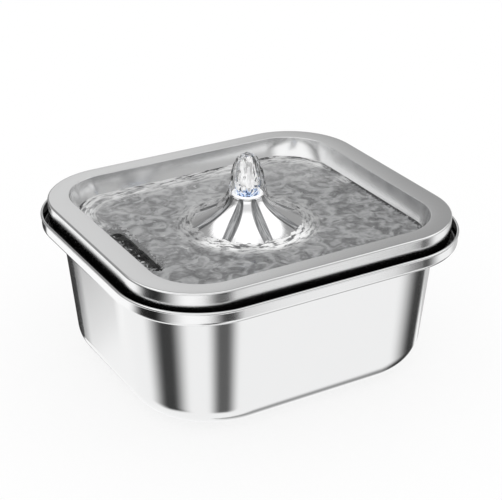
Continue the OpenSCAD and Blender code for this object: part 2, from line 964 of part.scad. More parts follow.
cradle_wall = 1.6;
cradle_l = 108;
cradle_w = 30;
cradle_h = 20;
cradle_top = well_floor - sheet - 0.1;
cradle_z = cradle_top - cradle_h;

module cradle_outline(inset = 0) {
    translate([-slot_x, 0])
        rounded_rect(cradle_w - 2 * inset, cradle_l - 2 * inset, 8 - inset);
}

// Holder that hangs under the slot: a collar lines the slot, and the bottom lets water through
module drain_cradle() {
    collar_gap = 0.3;
    color("black")
        difference() {
            union() {
                translate([0, 0, cradle_z]) linear_extrude(height = cradle_h) cradle_outline();
                translate([0, 0, cradle_top - eps])
                    linear_extrude(height = sheet + 0.7 + eps) slot_outline(-collar_gap);
            }
            translate([0, 0, cradle_z + cradle_wall])
                linear_extrude(height = cradle_h - 2 * cradle_wall) cradle_outline(cradle_wall);
            translate([0, 0, cradle_top - 3])
                linear_extrude(height = 8) slot_outline(-collar_gap - 1.1);
            for (y = [-45 : 9 : 45])
                translate([-slot_x, y, cradle_z - 1])
                    rotate(90)
                        linear_extrude(height = 4) stadium(20, 4);
        }
}

module drain_foam() {
    color("black")
        translate([0, 0, cradle_z + cradle_wall + 0.05])
            linear_extrude(height = cradle_h - 2 * cradle_wall - 2) cradle_outline(cradle_wall + 0.2);
}

basin();
basin_corners();
basin_sides();
basin_base();
foot_pads();
pump_box();
box_grommet();
pump_housing();
pump_gland();
suction_cups();
shaft();
rear_bush();
riser_tube();
led_board();
led_lens();
pump_cover();
front_bush();
flow_dial();
impeller();
rotor_magnet();
cartridge_frame();
cartridge_grid();
cartridge_sleeve();
cotton_pad();
carbon_bed();
foam_pad();
tray();
water_pool();
drain_cradle();
drain_foam();
fountain_cone();
nozzle_ring();
water_jet();
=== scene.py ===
import math

import bpy
from mathutils import Matrix, Vector, geometry, noise


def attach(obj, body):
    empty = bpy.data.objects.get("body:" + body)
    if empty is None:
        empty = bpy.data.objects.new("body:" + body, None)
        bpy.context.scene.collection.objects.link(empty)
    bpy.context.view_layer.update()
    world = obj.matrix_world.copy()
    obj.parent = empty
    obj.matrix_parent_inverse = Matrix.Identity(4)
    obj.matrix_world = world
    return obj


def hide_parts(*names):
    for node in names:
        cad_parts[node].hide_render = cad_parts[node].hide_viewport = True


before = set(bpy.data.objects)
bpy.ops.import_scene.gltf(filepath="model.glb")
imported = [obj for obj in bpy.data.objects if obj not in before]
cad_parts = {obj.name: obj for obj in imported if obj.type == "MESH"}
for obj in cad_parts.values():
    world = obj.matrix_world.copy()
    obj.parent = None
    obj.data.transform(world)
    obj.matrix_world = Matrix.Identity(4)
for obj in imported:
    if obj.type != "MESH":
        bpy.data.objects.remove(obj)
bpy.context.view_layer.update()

# ---- Camera ----
# A long lens looks down on the front corner, from the left of the drinking tray.

camera = bpy.data.objects.new("camera", bpy.data.cameras.new("camera"))
bpy.context.scene.collection.objects.link(camera)
bpy.context.scene.camera = camera
camera.data.lens = 101.75
camera.data.sensor_width = 36
camera.location = (-0.5541, -0.95794, 0.64335)
view = (Vector((0.00274, -0.0016, 0.09438)) - camera.location).normalized()
horizontal = view.cross(Vector((0, 0, 1))).normalized()
right = Matrix.Rotation(math.radians(-0.106), 3, view) @ horizontal
turn = Matrix((right, right.cross(view), -view)).transposed()
camera.rotation_euler = turn.to_euler()
bpy.context.scene.view_settings.view_transform = "Standard"

# ---- Floor and studio light ----
# A white floor under a soft dome. Polished steel mirrors tiers of panels that stand round the
# object, white with dark gaps between them, and it sees them through the floor as well.


class Wire:
    """The output of a node; Python's operators on it add Math nodes to the same tree."""

    def __init__(self, finish, socket):
        self.finish, self.socket = finish, socket

    def maths(self, operation, *others):
        return self.finish.add("Math", {"operation": operation}, (self, *others))

    def __add__(self, other):
        return self.maths("ADD", other)

    def __sub__(self, other):
        return self.maths("SUBTRACT", other)

    def __rsub__(self, other):
        return self.finish.add("Math", {"operation": "SUBTRACT"}, (other, self))

    def __mul__(self, other):
        return self.maths("MULTIPLY", other)

    def __truediv__(self, other):
        return self.maths("DIVIDE", other)

    def __pow__(self, other):
        return self.maths("POWER", other)

    def __gt__(self, other):
        return self.maths("GREATER_THAN", other)

    def __abs__(self):
        return self.maths("ABSOLUTE")

    __radd__, __rmul__ = __add__, __mul__


class Finish:
    """A node tree: add() makes any node in it, and the other methods are short forms of add()."""

    def __init__(self, owner):
        owner.use_nodes = True
        self.owner, self.tree = owner, owner.node_tree
        self.tree.nodes.clear()

    def add(self, kind, settings=None, values=(), out=0):
        node = self.tree.nodes.new("ShaderNode" + kind)
        for name, setting in (settings or {}).items():
            if name == "stops":
                node.color_ramp.interpolation = "EASE"
                ramp = node.color_ramp.elements
                for extra in setting[2:]:
                    ramp.new(0.5)
                for stop, (place, tone) in zip(ramp, sorted(setting)):
                    stop.position = place
                    stop.color = (tone, tone, tone, 1) if isinstance(tone, (int, float)) else tone
            else:
                setattr(node, name, setting)
        for name, value in values.items() if isinstance(values, dict) else enumerate(values):
            socket = self.socket(node.inputs, name)
            if isinstance(value, Wire):
                self.tree.links.new(value.socket, socket)
            else:
                socket.default_value = value
        return Wire(self, self.socket(node.outputs, out)) if len(node.outputs) else None

    @staticmethod
    def socket(sockets, name):
        if isinstance(name, int):
            return sockets[name]
        return next(s for s in sockets if s.enabled and s.name == name)

    def mix(self, factor, first, second):
        return self.add("Mix", {"data_type": "RGBA"}, {"Factor": factor, "A": first, "B": second}, "Result")

    def between(self, value, low, high):
        """0 below low, 1 above high, and a smooth step from one to the other."""
        return self.add("MapRange", {"interpolation_type": "SMOOTHSTEP"},
                        {"Value": value, "From Min": low, "From Max": high}, "Result")

    def noise(self, place, settings=None):
        return self.add("TexNoise", None, {"Vector": place, "Scale": 1, **(settings or {})}, "Fac")

    def stretch(self, place, *scale, turn=0):
        """The place scaled along each axis, for a grain that runs one way."""
        return self.add("Mapping", None, {"Vector": place, "Scale": scale, "Rotation": (0, 0, turn)})

    def skin(self, inputs):
        """The end of a material: one Principled surface."""
        self.add("OutputMaterial", None, [self.add("BsdfPrincipled", None, inputs)])


world = bpy.data.worlds.new("studio")
bpy.context.scene.world = world
studio = Finish(world)
ray = studio.add("TexCoord", out="Generated")
east, north, up = (studio.add("SeparateXYZ", None, [ray], i) for i in range(3))
SEAM = 125  # a bearing in the middle of a plain card in every tier
bearing = north.maths("ARCTAN2", east) * math.degrees(1)
bearing = ((bearing - SEAM) / 360 + 1).maths("FRACT")
climb = up.maths("ARCSINE") * math.degrees(1)


def at(degrees):
    """A bearing as the part of a turn that lies between the seam and it."""
    return (degrees - SEAM) % 360 / 360


def panels(*cards, reflectance=0.84):
    """A tier of plain cards round the object, each its display tone and first and last bearing.

    From each card to the next the light changes smoothly.
    """
    stops = [(at(b), ((tone / 255 + 0.055) / 1.055) ** 2.4 / reflectance)
             for tone, start, end in cards for b in (start, end)]
    return studio.add("ValToRGB", {"stops": stops}, [bearing])


under = panels((240, 60, 320), (150, 355, 5))
below = panels((240, 27, 146), (60, 177, 187), (240, 215, 235), (90, 255, 263), (240, 283, 320),
               (60, 3, 16))
level = panels((250, 106, 141), (30, 166, 183), (250, 228, 247), (40, 276, 282), (240, 306, 307),
               (80, 309, 314), (240, 343, 0), (190, 22, 48), (60, 68, 102))
beside = panels((150, 60, 135), (70, 165, 180), (180, 220, 230), (110, 262, 280), (180, 292, 298),
                (210, 310, 325), (180, 345, 45))
low = panels((150, 350, 168), (250, 206, 255), (180, 283, 340))
above = panels((250, 330, 15), (150, 19, 50), (210, 66, 70), (130, 88, 140), (250, 195, 248),
               (180, 282, 312))
over = panels((260, 340, 16), (150, 19, 101), (260, 104, 155), (210, 208, 302))
left_end = studio.between(bearing, at(56), at(65))
left_end = left_end * (1 - studio.between(bearing, at(108), at(113.5)))
light = under
for height, start, end, tier in (
        (climb, -62, -50, below), (climb + left_end * 3.5, -31.6, -30.8, level), (climb, -20, -8, beside),
        (climb, 2, 8, low), (climb, 11, 22, above), (climb, 30, 42, over),
        (climb, 62, 78, (1.22, 1.22, 1.22, 1))):
    light = studio.mix(studio.between(height, start, end), light, tier)
dome = studio.add("CombineColor", None, [up * 0.38 + 0.76] * 3)
is_camera, is_diffuse = (studio.add("LightPath", out=name) for name in ("Is Camera Ray", "Is Diffuse Ray"))
light = studio.mix(is_diffuse, light, dome)
light = studio.mix(is_camera, light, (1, 1, 1, 1))
studio.add("OutputWorld", None, [studio.add("Background", None, [light])])


def piece(name, points, faces, finish=None, crease=30):
    """A mesh object with smooth shading, sharp only where it bends by more than crease."""
    mesh = bpy.data.meshes.new(name)
    mesh.from_pydata(points, [], faces)
    mesh.validate()
    mesh.shade_smooth()
    mesh.set_sharp_from_angle(angle=math.radians(crease))
    made = bpy.data.objects.new(name, mesh)
    bpy.context.scene.collection.objects.link(made)
    if finish:
        mesh.materials.append(finish.owner)
    return made


FLOOR_HALF = 3
FLOOR_GLOW = 0.8

white_floor = Finish(bpy.data.materials.new("white_floor"))
is_camera, is_glossy, is_clear = (
    white_floor.add("LightPath", out=name)
    for name in ("Is Camera Ray", "Is Glossy Ray", "Is Transmission Ray")
)
lit = white_floor.add("BsdfDiffuse", None, {"Color": (1, 1, 1, 1)})
glow = white_floor.add("Emission", None, {"Color": (1, 1, 1, 1)})
seen = white_floor.add("MixShader", None, [is_camera * FLOOR_GLOW, lit, glow])
open_floor = white_floor.add("BsdfTransparent")
white_floor.add("OutputMaterial", None,
                [white_floor.add("MixShader", None, [is_glossy + is_clear, seen, open_floor])])
corners = ((-1, -1), (1, -1), (1, 1), (-1, 1))
floor = piece("floor", [(FLOOR_HALF * x, FLOOR_HALF * y, 0) for x, y in corners], [(0, 1, 2, 3)],
              white_floor)

# ---- Basin ----
# The reservoir: 0.8 mm stainless sheet, deep drawn with a wide shoulder and an upright band,
# its edge rolled outwards into a bead. The tray stands on the shoulder.

SHEET = 0.8
HEM = 1.2  # radius of a rolled edge
BASIN = (157, 141.5, 74)  # half length, half width and corner radius of an outline
BASIN_TOP = 127
BODY = (145, 129.5, 82)
BODY_LEAN_IN = 11  # from the shoulder down to the table
SHOULDER = 114.5
PAD = 1.2


def arc(x, z, radius, start, end, steps):
    """Points of a section along an arc, the angles in degrees."""
    angles = [math.radians(start + (end - start) * i / steps) for i in range(steps + 1)]
    return [(x + radius * math.cos(a), z + radius * math.sin(a)) for a in angles]


def ring(outline, x, z, bend=24, straight=6, drawn_in=0):
    """A rounded rectangle's points, where the section's x is counted from the corner's centre."""
    half_l, half_w, corner = outline
    points = []
    for quarter, (sx, sy) in enumerate(((1, 1), (-1, 1), (-1, -1), (1, -1))):
        for i in range(bend + 1):
            a = math.pi / 2 * (quarter + i / bend)
            r = x - drawn_in * math.sin(math.pi * i / bend) ** 2
            points.append(Vector((sx * (half_l - corner) + r * math.cos(a),
                                  sy * (half_w - corner) + r * math.sin(a), z)))
    loop = []
    for i, point in enumerate(points):
        loop.append(point)
        after = points[(i + 1) % len(points)]
        if i % (bend + 1) == bend:
            loop += [point.lerp(after, k / straight) for k in range(1, straight)]
    return [p / 1000 for p in loop]


def loft(rings, closed=False):
    """Points and faces of a skin through rings of equally many points."""
    n, m = len(rings[0]), len(rings)
    faces = []
    for i in range(m if closed else m - 1):
        for j in range(n):
            a, b = i * n, (i + 1) % m * n
            faces.append((a + j, a + (j + 1) % n, b + (j + 1) % n, b + j))
    return [p for r in rings for p in r], faces


def thick(path, thickness):
    """A sheet's section: the path, and back along its left side at the sheet's thickness."""
    back = []
    for i, (x, z) in enumerate(path):
        before = path[max(i - 1, 0)]
        after = path[min(i + 1, len(path) - 1)]
        dx, dz = after[0] - before[0], after[1] - before[1]
        span = math.hypot(dx, dz)
        back.append((x - dz / span * thickness, z + dx / span * thickness))
    return path + back[::-1]


def joined(name, parts, finish, crease=30):
    """One object of several lofts, each given as points and faces."""
    points, faces = [], []
    for some, made in parts:
        faces += [tuple(i + len(points) for i in face) for face in made]
        points += some
    return piece(name, points, faces, finish, crease)


def bead(outline, x, z, straight=6):
    """The rolled edge of a sheet, closed on itself."""
    return loft([ring(outline, px, pz, straight=straight) for px, pz in arc(x, z, HEM, 0, 350, 35)],
                closed=True)


def steel(name, roughness, tone=0.84, swirl=0.05, shut=0.1, free=0.62):
    """Bright stainless steel: faint clouds from polishing, fine draw lines, and painted shade that darkens
    it where it is shut in, as in a tight gap.
    """
    made = Finish(bpy.data.materials.new(name))
    place = made.add("TexCoord", out="Object")
    clouds = made.noise(place, {"Scale": 35, "Detail": 4})
    lines = made.noise(made.stretch(place, 60, 60, 5200), {"Detail": 3})
    worn = clouds * 0.6 + lines * 0.4
    # Painted shade: the base colour goes dark where ambient occlusion finds the sheet shut in, except near
    # the table.
    openness_for_painted_shade = made.add("AmbientOcclusion", {"samples": 8}, {"Distance": 0.016}, "AO")
    height = made.add("SeparateXYZ", None, [place], 2)
    near_table = 1 - made.between(height, 0.02, 0.05)
    openness_for_painted_shade = made.between(openness_for_painted_shade, shut, free).maths("MAXIMUM", near_table)
    bump = made.add("Bump", None, {"Height": lines, "Strength": swirl, "Distance": 0.0002})
    colour = made.mix(worn, (tone * 0.97, tone * 0.975, tone * 0.98, 1), (tone, tone, tone, 1))
    colour = made.mix(openness_for_painted_shade, (0.04, 0.04, 0.04, 1), colour)
    made.skin({"Base Color": colour, "Metallic": 1.0, "Roughness": worn * 0.06 + (roughness - 0.03),
               "Normal": bump})
    return made


# Its painted shade blackens the inside of the basin's band, in the gap round the tray's skirt.
drawn_steel = steel("drawn_steel", 0.11, swirl=0.018)

lean = math.atan2(BODY_LEAN_IN, SHOULDER)
wall = math.cos(lean) * BODY[2] - math.sin(lean) * SHOULDER
fillet, neck, heel = 24, 2.4, 3.2
fillet_x = (wall - fillet + (PAD + fillet) * math.sin(lean)) / math.cos(lean)
neck_x = (wall + neck + (SHOULDER - neck) * math.sin(lean)) / math.cos(lean)
slope = math.degrees(lean)
body = arc(fillet_x, PAD + fillet, fillet, -90, -slope, 24)
body += arc(neck_x, SHOULDER - neck, neck, 180 - slope, 90, 8)
band_x = BASIN[2] - HEM + SHEET / 2
band = arc(band_x - heel, SHOULDER + heel, heel, -90, 0, 10)
band += [(band_x, SHOULDER + heel + 0.5), (band_x, BASIN_TOP - HEM)]


def basin_rings(inside):
    """Rings from the floor out to the rim, on the sheet's outside or its inside."""
    shell = thick(body, SHEET)
    upper = thick(band, SHEET)
    body_side = shell[:len(body)] if not inside else shell[len(body):][::-1]
    band_side = upper[:len(band)] if not inside else upper[len(band):][::-1]
    rings = [ring(BODY, body_side[0][0] * s, body_side[0][1]) for s in (0.02, 0.5)]
    rings += [ring(BODY, x, z) for x, z in body_side]
    return rings + [ring(BASIN, x, z) for x, z in band_side]


outer, inner = basin_rings(False), basin_rings(True)
shell, shell_faces = loft(outer + inner[::-1])
around = len(outer[0])
shell_faces.append(tuple(range(around))[::-1])
shell_faces.append(tuple(range(len(shell) - around, len(shell))))
basin = joined("basin_shell", [(shell, shell_faces), bead(BASIN, BASIN[2] - HEM, BASIN_TOP - HEM)],
               drawn_steel)
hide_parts("basin", "basin_corners", "basin_sides", "basin_base")
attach(basin, "basin")

# ---- Tray ----
# The drinking tray is pressed from the same sheet: a flat rim, a deep well with a drain slot
# along its left end and a drawn neck in the middle, and a skirt with a rolled edge.

TRAY = (150, 133, 64)
WELL = (129.5, 117.2, 44.5)
RIM = 140
WELL_FLOOR = 113
LEDGE = SHOULDER + SHEET
SLOT = (-107, 8, 37)  # x of its middle, radius of its ends, y of their centres
NECK = 17
NECK_BEND = 3
NECK_TOP = WELL_FLOOR + 15
NOTCH = 10
NOTCH_X = (0.0555, 0.066)
CORNER_DRAW = 0.13  # how far the well's corners lean in, for each millimetre down
DRAWN_DEPTH = 18

edge, bow, foot, rim_bend = 0.7, 49.9, 8, 1.7
well = arc(WELL[2] + edge, RIM - edge, edge, 90, 177, 8)
for bend, first, last, steps in ((bow, 3, 30, 18), (foot, 30, 90, 10)):
    x, z = well[-1]
    a = math.radians(first)
    well += arc(x - bend * math.cos(a), z + bend * math.sin(a), bend, -first, -last, steps)[1:]
skirt = arc(TRAY[2] - rim_bend, RIM - rim_bend, rim_bend, 90, 0, 12)
skirt += [(TRAY[2], z) for z in (RIM - rim_bend - 0.5, LEDGE + NOTCH, LEDGE + HEM)]
well_back = thick(well, SHEET)[len(well):][::-1]
skirt_back = thick(skirt, -SHEET)[len(skirt):][::-1]


def well_ring(x, z):
    """The well leans in more at its corners, where the sheet is drawn hardest."""
    drawn_in = CORNER_DRAW * min(DRAWN_DEPTH, max(0, RIM - SHEET - z))
    return ring(WELL, x, z, straight=17, drawn_in=drawn_in)


def tray_rings(skirt_side, well_side):
    """Rings from the skirt's foot up over the rim and down to the well's floor."""
    rings = [ring(TRAY, x, z, straight=17) for x, z in skirt_side[::-1]]
    return rings + [well_ring(x, z) for x, z in well_side]


upper, lower = tray_rings(skirt, well), tray_rings(skirt_back, well_back)


def circle(radius, z, count=72):
    angles = [2 * math.pi * i / count for i in range(count)]
    return [Vector((radius * math.cos(a), radius * math.sin(a), z)) / 1000 for a in angles]


def slot_edge(z, steps=16):
    x, half, reach = SLOT
    loop = []
    for end, first in ((1, 0), (-1, 180)):
        for i in range(steps + 1):
            a = math.radians(first + 180 * i / steps)
            loop.append(Vector((x + half * math.cos(a), end * reach + half * math.sin(a), z)) / 1000)
    return loop


def plate(loops, flip=False):
    """A flat plate between an outer loop and the loops of its holes."""
    points = [p for loop in loops for p in loop]
    faces = [tuple(f) for f in geometry.tessellate_polygon(loops)]
    return points, [f[::-1] if flip else f for f in faces]


def notched(part, rows):
    """The part without its faces at the notch for the lead, in the given rows."""
    points, faces = part
    return points, [f for i, f in enumerate(faces) if i % around != notch or i // around not in rows]


around = len(upper[0])
notch = next(j for j in range(around)
             if upper[0][j].y > 0 and NOTCH_X[0] < upper[0][j + 1].x < upper[0][j].x < NOTCH_X[1])
rolled = bead(TRAY, TRAY[2] - HEM, LEDGE + HEM, 17)
rolled_ends = [tuple(i * around + notch + k for i in range(36))[::1 - 2 * k] for k in (0, 1)]
lip, sill = ([upper[i][notch], upper[i][notch + 1], lower[i][notch + 1], lower[i][notch]]
             for i in (1, 0))
notch_faces = [(0, 1, 2, 3), (0, 4, 7, 3), (1, 5, 6, 2)]

neck_section = arc(NECK + SHEET + NECK_BEND, WELL_FLOOR + NECK_BEND, NECK_BEND, -90, -180, 8)
neck_section += [(NECK + SHEET, NECK_TOP), (NECK, NECK_TOP), (NECK, WELL_FLOOR - SHEET)]
sides = [notched(loft(rings), (0,)) for rings in (upper, lower, [upper[0], lower[0]])]
sides.append((lip + sill, notch_faces))
for z, flip in ((WELL_FLOOR, False), (WELL_FLOOR - SHEET, True)):
    outer_loop = upper[-1] if not flip else lower[-1]
    hole = circle(NECK + SHEET + NECK_BEND if not flip else NECK, z)
    sides.append(plate([outer_loop, slot_edge(z), hole], flip))
sides.append(loft([slot_edge(WELL_FLOOR), slot_edge(WELL_FLOOR - SHEET)]))
sides.append(loft([circle(x, z) for x, z in neck_section]))
rolled = notched(rolled, range(36))
sides.append((rolled[0], rolled[1] + rolled_ends))
# Both of the tray's steels carry painted shade from ambient occlusion. The skirt's copy takes it over
# another range, so its foot fades to dark in the gap.
tray = joined("tray_shell", sides, steel("tray_steel", 0.18, 0.84, 0.05, 0.15, 0.85))
tray.data.materials.append(steel("skirt_steel", 0.17, 0.84, 0.04, 0.0, 0.68).owner)
for face in tray.data.polygons[:(len(skirt) - 1) * around - 1]:
    face.material_index = 1
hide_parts("tray")
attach(tray, "tray")

# ---- Fountain cone ----
# A polished cone drawn with eight petals, a flute pressed between each two, that flares out
# under the water and turns down to its foot. It drops over the tray's neck.

CONE_TOP = 148
CONE_MOUTH, CONE_SPREAD = 14.5, 34.2  # radius of the top edge, and what the bell adds to it
WATER = 122
FLARE_Z = WATER + 0.6
FLARE_R, FLARE_OUT = 48.7, 4.8
PETALS, PETAL_TURN = 8, -120
CONE_SHEET = 0.7
BELL = 0.72  # the share of the outside that lies above the flare
FLUTE_DEPTH = 3.4
FLUTE_HALF = (2.2, 3)  # half its width at the ends, and what its middle adds


def bell(s):
    """Radius and height of the cone's outside, from 0 at its top edge to 1 at its foot."""
    if s < BELL:
        t = s / BELL
        return CONE_MOUTH + CONE_SPREAD * t ** 1.6, CONE_TOP + (FLARE_Z - CONE_TOP) * t
    t = (s - BELL) / (1 - BELL)
    q = math.radians(90 * t)
    drop = FLARE_Z - WELL_FLOOR
    return FLARE_R + FLARE_OUT * math.sin(q), FLARE_Z - drop * (0.45 * (1 - math.cos(q)) + 0.55 * t)


def petals(s, inset=0, count=640, sink=0):
    """One ring of the cone, with its flutes pressed in."""
    radius, z = bell(s)
    depth = FLUTE_DEPTH * max(0, math.sin(math.pi * s)) ** 0.7
    half = FLUTE_HALF[0] + FLUTE_HALF[1] * math.sin(math.radians(min(180, 189 * s)))
    half = math.degrees(half / radius)
    pitch = 360 / PETALS
    loop = []
    for i in range(count):
        a = 360 * i / count
        off = (a - PETAL_TURN) % pitch - pitch / 2
        dent = depth * math.cos(math.radians(90 * off / half)) ** 2 if abs(off) < half else 0
        r = radius - inset - dent
        a = math.radians(a)
        loop.append(Vector((r * math.cos(a), r * math.sin(a), z - sink)) / 1000)
    return loop


steps = 90
mouth_wall = CONE_SHEET * 2.6
outside = [petals(i / steps) for i in range(steps + 1)]
inside = [petals(i / steps, CONE_SHEET * 1.3 if i else mouth_wall, sink=0 if i in (0, steps) else 0.5)
          for i in range(steps, -1, -1)]
bright_steel = Finish(bpy.data.materials.new("bright_steel"))
place = bright_steel.add("TexCoord", out="Object")
x, y, z = (bright_steel.add("SeparateXYZ", None, [place], i) for i in range(3))
out = (x * x + y * y) ** 0.5
turn = y.maths("ARCTAN2", x) * math.degrees(1)
lane = ((turn - PETAL_TURN) * (PETALS / 360)).maths("FRACT") - 0.5
off = abs(lane) * (2000 * math.pi / PETALS) * out
along = (CONE_TOP / 1000 - z) * (1000 * BELL / (CONE_TOP - FLARE_Z))
widest = (along * 3.3).maths("MINIMUM", math.pi).maths("SINE") * FLUTE_HALF[1] + FLUTE_HALF[0]
across = off / widest
# Painted shade: the flutes are coloured a streaked grey that darkens towards their edges, for the shade in
# the grooves. The petals keep the bright steel.
flute = 1 - bright_steel.between(across, 0.82, 1.02)
rim = bright_steel.between(across, 0.45, 0.85)
flow = bright_steel.add("CombineXYZ", None, [x / out * 46, y / out * 46, z * 130])
streak = bright_steel.noise(flow, {"Detail": 3, "Distortion": 0.6})
grey = bright_steel.mix(bright_steel.between(streak, 0.36, 0.6), (0.17, 0.175, 0.18, 1),
                        (0.46, 0.465, 0.47, 1))
grey = bright_steel.mix(rim * 0.55, grey, (0.14, 0.14, 0.145, 1))
steel_with_painted_flutes = bright_steel.mix(flute, (0.9, 0.9, 0.905, 1), grey)
bright_steel.skin({
    "Base Color": steel_with_painted_flutes, "Metallic": 1.0, "Roughness": flute * 0.3 + 0.06,
    "Normal": bright_steel.add("Bump", None, {"Height": streak, "Strength": 0.16, "Distance": 0.0003})})
cone = joined("fluted_cone", [loft(outside + inside, closed=True)], bright_steel)
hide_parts("fountain_cone")
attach(cone, "cone")

# ---- Nozzle ring ----
# A white silicone ring, moulded with a full lip, that plugs into the cone's top and steadies
# the water that wells out of the riser.

BORE = 9

silicone = Finish(bpy.data.materials.new("white_silicone"))
place = silicone.add("TexCoord", out="Object")
dust = silicone.noise(place, {"Scale": 900, "Detail": 3})
# Painted light: the silicone glows faintly white, so the ring looks brighter than the lamps make it.
silicone.skin({
    "Base Color": silicone.mix(dust, (0.93, 0.94, 0.95, 1), (0.97, 0.975, 0.98, 1)),
    "Roughness": dust * 0.1 + 0.32, "Subsurface Weight": 0.25, "Subsurface Radius": (0.002, 0.002, 0.0025),
    "Subsurface Scale": 1.0, "Coat Weight": 0.4, "Emission Color": (1, 1, 1, 1),
    "Emission Strength": 0.24,
    "Normal": silicone.add("Bump", None, {"Height": dust, "Strength": 0.08, "Distance": 0.0001})})

neck_r = CONE_MOUTH - mouth_wall - 0.5
lip = ([(BORE, CONE_TOP - 7), (neck_r, CONE_TOP - 7), (neck_r, CONE_TOP + 0.05)]
       + arc(12.7, CONE_TOP + 0.45, 0.4, -90, 0, 4) + arc(12.2, CONE_TOP + 0.4, 1.5, 20, 90, 8)
       + arc(BORE + 2.4, CONE_TOP - 0.5, 2.4, 90, 180, 10))
nozzle = joined("nozzle_lip", [loft([circle(r, z, 120) for r, z in lip], closed=True)], silicone, 40)
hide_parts("nozzle_ring")
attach(nozzle, "cone")

# ---- Water in the well ----
# The running water spreads from the cone's foot to the wall and drains through the slot. Its
# face is broken by fine ripples, with a ring of wavelets round the cone.


def smooth(value, low, high):
    t = min(1, max(0, (value - low) / (high - low)))
    return t * t * (3 - 2 * t)


def swell(x, y, edge):
    """Height of the ripples in millimetres, by the place and the distance from the wall."""
    warp = noise.noise((x / 17, y / 17, 3.1)) * 6
    chop = noise.fractal(((x + warp) / 12, (y - warp) / 12, 0.4), 1.1, 2.1, 3) * 0.6
    r = math.hypot(x, y)
    turn = math.atan2(y, x)
    collar = 1.7 * (1 - smooth(r + 1.5 * noise.noise((x / 9, y / 9, 8.5)), 45, 54))
    waves = math.exp(-((r - 50) / 5) ** 2) * math.sin(r * 2.1 + 3 * noise.noise((x / 8, y / 8, 5.5)))
    crest = waves * (0.22 + 0.5 * noise.noise((math.cos(turn) * 6, math.sin(turn) * 6, r / 3.5)))
    crest += math.exp(-max(0, r - 46) / 8) * 0.7 * noise.noise((x / 3.4, y / 3.4, 6.2))
    crest += math.exp(-edge / 6) * 0.7 * noise.noise((x / 4.5, y / 4.5, 2.6))
    meniscus = 0.9 * math.exp(-edge / 1.1)
    return (chop + crest) * min(1, edge / 2) + collar + meniscus


def reach(outline, a):
    """Distance from the middle of a rounded rectangle to its edge, along a bearing."""
    half_l, half_w, corner = outline
    c, s = abs(math.cos(a)), abs(math.sin(a))
    cx, cy = half_l - corner, half_w - corner
    if half_w * c <= cx * s:
        return half_w / s
    if half_l * s <= cy * c:
        return half_l / c
    along = c * cx + s * cy
    return along + math.sqrt(along ** 2 - cx ** 2 - cy ** 2 + corner ** 2)


(xa, za), (xb, zb) = next((p, q) for p, q in zip(well, well[1:]) if q[1] <= WATER)
lean_in = WELL[2] - (xa + (xb - xa) * (za - WATER) / (za - zb)) - 0.3
shore = [side - lean_in for side in WELL]
CONE_AT_WATER = 42.4
CORNER_IN = 2.25  # how far the well's corners have leant in at the water
turns, lanes = 720, 130
surface = []
for j in range(lanes + 1):
    share = (j / lanes) ** 1.15
    for i in range(turns):
        a = 2 * math.pi * i / turns
        near, far = CONE_AT_WATER, reach(shore, a)
        corner_x = far * abs(math.cos(a)) - shore[0] + shore[2]
        corner_y = far * abs(math.sin(a)) - shore[1] + shore[2]
        if corner_x > 0 and corner_y > 0:
            far -= CORNER_IN * math.sin(2 * math.atan2(corner_y, corner_x)) ** 2
        r = near + (far - near) * share
        x, y = r * math.cos(a), r * math.sin(a)
        surface.append(Vector((x, y, WATER + swell(x, y, far - r))) / 1000)
quads = [(j * turns, (j + 1) * turns, i, (i + 1) % turns) for j in range(lanes) for i in range(turns)]
faces = [(inward + i, outward + i, outward + k, inward + k) for inward, outward, i, k in quads]

moving = Finish(bpy.data.materials.new("moving_water"))
place = moving.add("TexCoord", out="Object")
x, y = (moving.add("SeparateXYZ", None, [place], i) for i in range(2))
wide, tall = abs(x), abs(y)
soft = moving.noise(place, {"Scale": 72, "Detail": 2, "Distortion": 1.3})
fine = moving.noise(place, {"Scale": 190, "Detail": 3, "Distortion": 1.4})
patch = moving.noise(place, {"Scale": 24, "Detail": 1})
run_x = (wide - (shore[0] - shore[2]) / 1000).maths("MAXIMUM", 0)
run_y = (tall - (shore[1] - shore[2]) / 1000).maths("MAXIMUM", 0)
from_corner = run_x * run_x + run_y * run_y + 1e-9
corner_in = (run_x * run_y / from_corner) ** 2 * (4 * CORNER_IN / 1000)
inland = shore[2] / 1000 - from_corner ** 0.5 - corner_in
out = (x * x + y * y) ** 0.5
# Painted highlights: white glints round the cone, strongest on its front side, along the back wall of the
# well, and a few over the open water.
ahead = moving.between((x * -0.1 - y) / out + (patch - 0.5) * 1.5, 0.2, 0.9)
by_cone = (1 - moving.between(out, 0.055, 0.068)) * (ahead * 0.85 + 0.15)
by_wall = (1 - moving.between(inland, 0.008, 0.024)) * moving.between(y + (patch - 0.5) * 0.2, 0.02, 0.07)
wreath = moving.add("CombineXYZ", None, [x / out * 5.5, y / out * 5.5, out * 430])
wreath = moving.noise(wreath, {"Detail": 5, "Roughness": 0.62})
border = moving.add("CombineXYZ", None, [x * 55, y * 55, inland * 380])
border = moving.noise(border, {"Detail": 3, "Distortion": 0.9})
painted_glint = (moving.between(wreath, 0.41, 0.52) * by_cone + moving.between(border, 0.42, 0.56) * by_wall * 0.9
         + moving.between(fine, 0.66, 0.74) * 0.4)
# Painted highlights: lighter rings of wavelets round the cone.
rings = moving.between(wreath, 0.4, 0.6) * (1 - moving.between(out, 0.054, 0.07))
# The water's own murk, mottled at random. The painted light and shade below are mixed into it.
murk_with_painted_light = moving.mix(moving.between(soft * 0.8 + fine * 0.2, 0.34, 0.66), (0.17, 0.172, 0.175, 1),
                       (0.45, 0.455, 0.46, 1))
